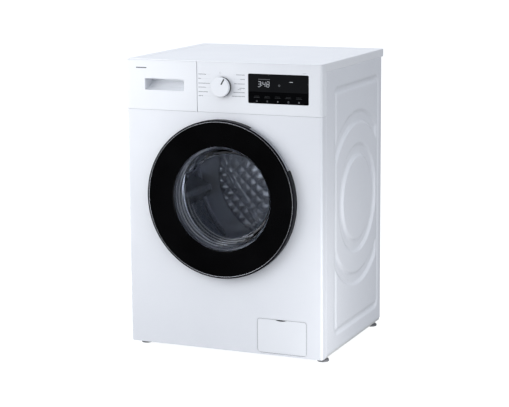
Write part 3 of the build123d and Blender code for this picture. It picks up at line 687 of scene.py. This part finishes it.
def swept(name, path, radius, node, sides=14):
    """Round section carried along a path given in mm."""
    points = [Vector(p) for p in path]
    verts = []
    side = Vector((0.0, 1.0, 0.0))
    for i, point in enumerate(points):
        along = (points[min(i + 1, len(points) - 1)] - points[max(i - 1, 0)]).normalized()
        side = (side - along * side.dot(along)).normalized()
        other = along.cross(side)
        for k in range(sides):
            t = 2 * math.pi * k / sides
            verts.append((point + radius * (math.cos(t) * side + math.sin(t) * other)) * MM)
    faces = [(i + k, i + (k + 1) % sides, i + sides + (k + 1) % sides, i + sides + k)
             for i in range(0, (len(points) - 1) * sides, sides) for k in range(sides)]
    faces += [tuple(reversed(range(sides))), tuple(range((len(points) - 1) * sides, len(points) * sides))]
    slot = SLOT_OF[node]
    piece = mesh_piece(name, verts, faces, BY_SLOT[slot], None, 50)
    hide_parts(node)
    return piece


def coil(x, y, low, high, radius, turns):
    return [(x + radius * math.cos(2 * math.pi * t), y + radius * math.sin(2 * math.pi * t),
             low + (high - low) * t / turns) for t in [k / 16 for k in range(16 * turns + 1)]]


def bent(corners, radius, steps=8):
    """Polyline with rounded corners."""
    out = [corners[0]]
    for a, b, c in zip(corners[:-2], corners[1:-1], corners[2:]):
        corner = Vector(b)
        start = corner + (Vector(a) - corner).normalized() * radius
        end = corner + (Vector(c) - corner).normalized() * radius
        for k in range(steps + 1):
            t = k / steps
            out.append(tuple(start * (1 - t) ** 2 + corner * 2 * t * (1 - t) + end * t * t))
    return out + [corners[-1]]


def suspension_springs():
    """Two coils that the cabinet holds at the top and the tub at the bottom."""
    low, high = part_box("suspension_springs")
    wire = 2.0
    radius = (high[1] - low[1]) / MM / 2 - wire
    middle = (low[1] + high[1]) / MM / 2
    for side, x in (("left", low[0] / MM + wire + radius), ("right", high[0] / MM - wire - radius)):
        path = coil(x, middle, low[2] / MM + wire, high[2] / MM - wire, radius, 12)
        spring = swept("suspension_spring_" + side, path, wire, "suspension_springs", 10)
        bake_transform(spring)


def dispenser_bellows():
    """Ribbed rubber tube between the dispenser and the tub."""
    low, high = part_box("dispenser_hose")
    x = (low[0] + high[0]) / 2
    y = (low[1] + high[1]) / 2
    wide = (high[0] - low[0]) / MM / 2
    base = low[2] / MM
    rise = (high[2] - low[2]) / MM
    levels = 24
    cuff = 3                                     # levels without ribs at each end
    bore = wide - 6.1

    def rib(k):
        plain = k < cuff or k > levels - cuff
        return 0 if plain else 3.0 * math.sin(math.pi * 3 * (k - cuff) / (levels - 2 * cuff)) ** 2

    outline = [(wide - 3.3 + rib(k), base + rise * k / levels) for k in range(levels + 1)]
    outline += [(bore, base + rise), (bore, base)]
    turns = 48
    n = len(outline)
    angles = [2 * math.pi * i / turns for i in range(turns)]
    verts = [(x + r * MM * math.cos(a), y + r * MM * math.sin(a), z * MM) for a in angles for r, z in outline]
    faces = [(i * n + k, ((i + 1) % turns) * n + k, ((i + 1) % turns) * n + (k + 1) % n, i * n + (k + 1) % n)
             for i in range(turns) for k in range(n)]
    slot = SLOT_OF["dispenser_hose"]
    bellows = mesh_piece("dispenser_bellows", verts, faces, BY_SLOT[slot], None, 50)
    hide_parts("dispenser_hose")
    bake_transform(bellows)


def sump_hose():
    """Hose from the bottom of the tub to the drain pump."""
    low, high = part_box("sump_hose")
    wall = 18.4
    x0 = low[0] / MM + wall
    x1 = high[0] / MM - wall
    y0 = high[1] / MM - wall
    z0 = low[2] / MM + wall
    corners = [(x0, y0, high[2] / MM), (x0, y0, z0), (x1, y0, z0), (x1, low[1] / MM, z0)]
    hose = swept("sump_hose_bent", bent(corners, 22.0), wall, "sump_hose", 24)
    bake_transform(hose)


# ------------------------------------------------------------------ drum

LATTICE = 26.0                                   # pitch of the pressed dimples
STAR_REACH = 119.0                               # distance of the star's ribs from the axis
STAR_TURN = 213.0                                # direction of the first rib, from +X towards +Z
RIB_HIGH = 9.0
RIB_SOFT = 5.0
FIELD_HIGH = 7.5                                 # height of the back wall's dimples
FIELD_R = 182.0                                  # they end at this radius
WALL_HIGH = 3.2                                  # height of the side wall's dimples
WALL_END = 112
BACK_R = 236.4
HUB_R = 15.2


def dimple(u, v):
    """0 between the dimples of a diamond lattice, 1 on their crests."""
    a = math.sin(math.pi * (u + v) / (LATTICE * math.sqrt(2)))
    b = math.sin(math.pi * (u - v) / (LATTICE * math.sqrt(2)))
    return abs(a * b) ** 0.9


def star_relief(x, z):
    """Height in mm of the pressings on the drum's back wall."""
    r = math.hypot(x, z)
    turns = [math.radians(STAR_TURN + 120 * k) for k in range(3)]
    inner = max(x * math.cos(t) + z * math.sin(t) for t in turns)
    ridge = RIB_HIGH * math.exp(-((inner - STAR_REACH) / RIB_SOFT) ** 2)
    inside = min(1.0, max(0.0, (STAR_REACH - inner) / 10.0))
    rim = min(1.0, max(0.0, (FIELD_R - r) / 7.0))
    field = FIELD_HIGH * rim * (1.0 - 0.74 * inside) * dimple(x, z)
    return rim * ridge + field + 3.0 * rim


def revolved_grid(name, stations, height, material, body, around=400, sharp=60.0):
    """Full turn about the drum axis; height(angle, radius, y) lifts the surface inwards."""
    verts = []
    faces = []
    for i in range(around):
        a = 2 * math.pi * i / around
        for r, y in stations:
            rr, yy = height(a, r, y)
            verts.append((rr * MM * math.cos(a), yy * MM, DOOR_Z + rr * MM * math.sin(a)))
    n = len(stations)
    for i in range(around):
        j = (i + 1) % around
        faces += [(i * n + k, j * n + k, j * n + k + 1, i * n + k + 1) for k in range(n - 1)]
    return mesh_piece(name, verts, faces, material, body, sharp)


def drum():
    """Pressed and perforated wall, star pressed back wall and rolled mouth of the drum."""
    front = SHELL[0][1] / MM
    radius = DRUM_R / MM

    def wall_height(a, r, y):
        edge = min(1.0, max(0.0, (y - front - 15) / 12), max(0.0, (WALL_END - y) / 12))
        return r - WALL_HIGH * edge * dimple(a * radius, y - front), y

    def back_height(a, r, y):
        return r, y - star_relief(r * math.cos(a), r * math.sin(a))

    stations = [(radius - 1.3, front + 15 + (WALL_END - front - 15) * k / 110) for k in range(111)]
    wall = revolved_grid("drum_wall_pressed", stations, wall_height, STAINLESS_HOLED_SHADED, "drum",
                         480, 80)
    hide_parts("drum_shell")
    stations = [(HUB_R + (BACK_R - HUB_R) * k / 110, 122.0 - 2.0 * k / 110) for k in range(111)]
    revolved_grid("drum_back_pressed", stations, back_height, BACK_STEEL_LIT, "drum", 420, 80)
    mouth = [(radius - 1.3, front + 15.2), (236, -170), (171, -174), (164.5, -180), (158.5, -180),
             (155, -176.3), (154, -177), (158, -181.2), (165, -181.2), (171.5, -175.2), (236.5, -171.2),
             (radius, -162), (radius, 113), (237, 121.2), (HUB_R, 123.2), (HUB_R, 122)]
    lathe("drum_mouth_rolled", mouth, STAINLESS, "drum", closed=False, turns=192, sharp=30)
    knee = [(radius - 1.3, WALL_END), (241.5, 116.5), (BACK_R, 120)]
    lathe("drum_knee", knee, STAINLESS, "drum", closed=False, turns=192, sharp=60)


def holed_shaded_stainless():
    """Stainless sheet painted darker than the plain steel as shade on the drum's wall, with the punched holes
    on a diamond grid round the drum painted as dark dots of shade.
    """
    f = Finish("perforated_stainless_painted_shade")
    centred = f.node("VectorMath", operation="SUBTRACT")
    centred.inputs[1].default_value = (0, 0, DOOR_Z)
    f.link(f.coords, centred.inputs[0])
    parts = f.node("SeparateXYZ")
    f.link(centred.outputs[0], parts.inputs[0])
    angle = f.node("Math", operation="ARCTAN2")
    f.link(parts.outputs["Z"], angle.inputs[0])
    f.link(parts.outputs["X"], angle.inputs[1])
    arc = f.node("Math", operation="MULTIPLY")
    arc.inputs[1].default_value = DRUM_R
    f.link(angle.outputs[0], arc.inputs[0])
    flat = f.node("CombineXYZ")
    f.link(arc.outputs[0], flat.inputs["X"])
    f.link(parts.outputs["Y"], flat.inputs["Y"])
    dots = f.node("TexVoronoi", Scale=120.0, Randomness=0.0)
    dots.voronoi_dimensions = "2D"
    f.link(flat.outputs[0], dots.inputs["Vector"])
    mask = f.spread(dots.outputs["Distance"], 0.0, 1.0, 0.06, 0.10)
    # sheet colour darker than the plain stainless: painted shade
    sheet = f.tint(f.noise(9.0, 4.0), (0.20, 0.215, 0.25), (0.27, 0.285, 0.32))
    mix = f.node("Mix", data_type="RGBA")
    # hole colour: painted shade in the holes, which are not cut
    mix.inputs["A"].default_value = (0.12, 0.125, 0.14, 1)
    f.link(mask, mix.inputs["Factor"])
    f.link(sheet, mix.inputs["B"])
    f.colour(mix.outputs["Result"])
    f.roughness(f.spread(f.noise(260.0, 2.0, (1, 6, 1)), 0.22, 0.34))
    f.set(Metallic=0.72)
    return f.material


STAINLESS_HOLED_SHADED = holed_shaded_stainless()


# ------------------------------------------------------------------ controls

SEGMENTS = {"0": "abcdef", "1": "bc", "2": "abged", "3": "abgcd", "4": "fgbc", "5": "afgcd",
            "6": "afgedc", "7": "abc", "8": "abcdefg", "9": "abcdfg"}


FIGURES = (("3", 109.8), ("4", 123.8), ("8", 135.8))
FIGURE_LOW = 783.2
FIGURE_SIZE = (7.9, 15.2)
FIGURE_LINE = 0.7
KEY_MARK_Z = 743.5


def digit(ch, x, z, w, h, t, lean=0.10):
    def at(px, pz):
        return (x + px + lean * pz, z + pz)
    half = h / 2
    spans = {
        "a": (t, h - t, w - t, h), "g": (t, half - t / 2, w - t, half + t / 2), "d": (t, 0, w - t, t),
        "f": (0, half + t / 2, t, h - t), "b": (w - t, half + t / 2, w, h - t),
        "e": (0, t, t, half - t / 2), "c": (w - t, t, w, half - t / 2),
    }
    out = []
    for s in SEGMENTS[ch]:
        x0, z0, x1, z1 = spans[s]
        out.append([at(x0, z0), at(x1, z0), at(x1, z1), at(x0, z1)])
    return out


def dashes(x, z, length, height, rng, rightward=True):
    """A run of short strokes that stands for a printed caption without being lettering."""
    out = []
    used = 0.0
    while used < length - 1.0:
        step = min(rng.uniform(1.6, 3.6), length - used)
        x0 = x + used if rightward else x - used - step
        out.append(bar(x0, x0 + step - 0.7, z - height / 2, z + height / 2))
        used += step
    return out


def display():
    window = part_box("display_window")
    y = window[0][1] - 0.05 * MM
    pane = bar(82.4, 259.6, 769.6, 817.6)
    plates("display_smoke_pane", [pane], window[0][1], SMOKE_PANE, "cabinet", thick=0.03)
    marks = []
    for figure, x in FIGURES:
        marks += digit(figure, x, FIGURE_LOW, *FIGURE_SIZE, FIGURE_LINE)
    marks += [bar(120.6, 122.0, 787.0, 788.6), bar(121.3, 122.7, 793.4, 795.0)]
    marks += [pill(204.5, 214.5, 798.5, 799.4)]
    plates("display_figures", marks, y, GLOW_WHITE, "cabinet")
    small = ring_marks(174, 788.5, 2.8, 1.2)
    small += [bar(112 + i * 6.0, 115.6 + i * 6.0, 803, 805.2) for i in range(6)]
    plates("display_small_marks", small, y, GLOW_FAR, "cabinet")
    rng = random.Random(5)
    for i in range(5):
        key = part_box("key_%d" % (i + 1))
        x = (key[0][0] + key[1][0]) / 2 / MM
        shapes = {
            0: ring_marks(x, KEY_MARK_Z, 2.6, 0.9, 120, 420),
            1: [bar(x - 2.4, x + 2.4, 741.6, 742.6), bar(x - 2.4, x + 2.4, 744.2, 745.2)],
            2: [[(x - 1.8, 741), (x + 2.6, KEY_MARK_Z), (x - 1.8, 746)]],
            3: ring_marks(x, KEY_MARK_Z, 2.6, 0.9) + [bar(x - 0.4, x + 0.4, 743, 746.4)],
            4: [bar(x - 2.4, x - 0.9, 741.2, 745.8), bar(x + 0.6, x + 2.1, 741.2, 745.8)],
        }[i]
        face = key[0][1] - 0.02 * MM
        body = "button_%d" % (i + 1)
        plates("key_symbol_%d" % (i + 1), shapes, face, GLOW_FAR, body)
        captions = dashes(x - 9, 753.5, 18, 1.2, rng) + dashes(x - 7, 757.0, 14, 1.0, rng)
        plates("key_caption_%d" % (i + 1), captions, face, GLOW_DIM, body)


# printed rows beside the knob: height and length
LEFT_CAPTIONS = [(812.6, 25), (800.5, 9), (787.2, 36), (775.9, 24), (763.3, 30), (751.9, 14)]
RIGHT_CAPTIONS = [(814, 26), (802, 13), (789, 33), (777, 17), (765, 35), (754, 40)]


def panel_marks():
    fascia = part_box("control_fascia")
    y = fascia[0][1]
    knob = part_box("programme_knob")
    kx = (knob[0][0] + knob[1][0]) / 2 / MM
    rng = random.Random(11)
    text = []
    lines = []
    for z, length in LEFT_CAPTIONS:
        text += dashes(-71, z, length, 1.7, rng)
        lines.append(bar(-71 + length + 2, kx - 36, z - 0.2, z + 0.2))
    for z, length in RIGHT_CAPTIONS:
        text += dashes(71, z, length, 1.7, rng, rightward=False)
        lines.append(bar(kx + 36, 71 - length - 2, z - 0.2, z + 0.2))
    text += dashes(60, 773, 11, 1.4, rng, rightward=False)
    plates("panel_captions", text, y, INK_GREY, "cabinet")
    short = [s for s in lines if s[1][0] > s[0][0] + 1]
    plates("panel_leader_lines", short, y, INK_FAINT, "cabinet")
    small = ring_marks(kx - 6, 817.5, 3.0, 0.8, 0, 360) + [pill(243, 254, 823.2, 824.6)]
    plates("panel_symbols", small, y, INK_FAINT, "cabinet")
    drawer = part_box("drawer_front")
    plates("drawer_plain_bar", [pill(-268, -234, 823.6, 826.6)], drawer[0][1], INK_BAR, "drawer")


def flap_notch():
    """Painted shade: a dark plate behind the scooped upper edge of the filter flap stands for the shade in
    its finger gap.
    """
    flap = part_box("filter_flap")
    x = (flap[0][0] + flap[1][0]) / 2 / MM - 3.0
    top = flap[1][2] / MM
    radius = 47.0
    arc = [(x + radius * math.cos(t), top + 43.3 + radius * math.sin(t))
           for t in [math.radians(a) for a in range(-113, -66, 4)]]
    # dark plate of painted shade in the finger gap
    plates("flap_finger_gap_shade", [arc], flap[1][1] - 0.5 * MM, DARK_INK_AND_SHADE, "cabinet", thick=0.2)


def rounded(x0, x1, z0, z1, low_r, high_r, steps=6):
    """Rectangle with one corner radius along its lower edge and one along its upper edge."""
    corners = ((x1 - low_r, z0 + low_r, low_r, -90), (x1 - high_r, z1 - high_r, high_r, 0),
               (x0 + high_r, z1 - high_r, high_r, 90), (x0 + low_r, z0 + low_r, low_r, 180))
    return [(cx + r * math.cos(t), cz + r * math.sin(t)) for cx, cz, r, first in corners
            for t in [math.radians(first + 90 * k / steps) for k in range(steps + 1)]]


def flap_gap():
    """Grey line of painted shade in the gap round the filter flap, left out where the open flap passes its
    lower corners.
    """
    low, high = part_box("filter_flap")
    edge = [low[0] / MM, high[0] / MM, low[2] / MM, high[2] / MM]
    inner, outer = [rounded(edge[0] - d, edge[1] + d, edge[2] - d, edge[3] + d, 9.0 + d, 6.5 + d)
                    for d in (0.2, 1.1)]
    n = len(inner)
    hinge_low = edge[2] + 0.5                    # the open flap passes between these heights
    hinge_high = edge[2] + 3.6
    shapes = []
    for i in range(n):
        j = (i + 1) % n
        shape = [inner[i], outer[i], outer[j], inner[j]]
        heights = [z for x, z in shape]
        if max(heights) < hinge_low or min(heights) > hinge_high:
            shapes.append(shape)
    # the grey plates are painted shade of the gap
    plates("flap_gap_shade_line", shapes, FRONT, GAP_SHADE, "cabinet")


POINTER_TURN = 60.0                              # from +X towards +Z


def knob_pointer():
    """Dark line printed on the knob's face, and a dark band at its foot that paints the shade on the knob's
    side wall.
    """
    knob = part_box("programme_knob")
    cx = (knob[0][0] + knob[1][0]) / 2 / MM
    cz = (knob[0][2] + knob[1][2]) / 2 / MM
    a = math.radians(POINTER_TURN)
    along = (math.cos(a), math.sin(a))
    side = (-along[1], along[0])
    corners = [(8.5, -1.9), (26.6, -1.9), (26.6, 1.9), (8.5, 1.9)]
    shape = [(cx + p * along[0] + q * side[0], cz + p * along[1] + q * side[1]) for p, q in corners]
    plates("knob_pointer_inlay", [shape], knob[0][1] + 0.3 * MM, DARK_INK_AND_SHADE, "knob", thick=0.36)
    base = (knob[1][0] - knob[0][0]) / 2 / MM
    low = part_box("control_fascia")[0][1] / MM
    # the skirt's dark colour is painted shade on the lower part of the knob's side wall
    skirt = [(base - 1.4, low - 9.4), (base + 0.12, low - 9.4), (base + 0.25, low - 9.0),
             (base + 0.25, low - 1.0), (base - 1.4, low - 1.0)]
    lathe("knob_shade_skirt", skirt, KNOB_SHADE, "knob", turns=96,
          centre=(cx * MM, cz * MM), sharp=40)


# ------------------------------------------------------------------ build

OWN_MATERIAL = {"foot_1": FOOT_GREY, "foot_2": FOOT_GREY, "foot_3": FOOT_GREY, "foot_4": FOOT_GREY,
                "door_ring": BLACK_RIM, "door_grip": GRIP_GREY, "base_tray": TRAY_GREY}
SOFT_EDGE = {"programme_knob": 0.6, "control_fascia": 0.25, "drawer_front": 0.8, "filter_flap": 0.4,
             "front_panel": 0.15, "drum_lifters": 6.0, "door_inner_frame": 0.5}   # width in mm

side_panel("side_panel_right", 1)
side_panel("side_panel_left", -1)
door()
gasket()
suspension_springs()
dispenser_bellows()
sump_hose()
drum()
display()
panel_marks()
knob_pointer()
flap_notch()
flap_gap()
for name, material in OWN_MATERIAL.items():
    frame["nodes"][name].data.materials[0] = material
for name, width in SOFT_EDGE.items():
    soften(name, width)
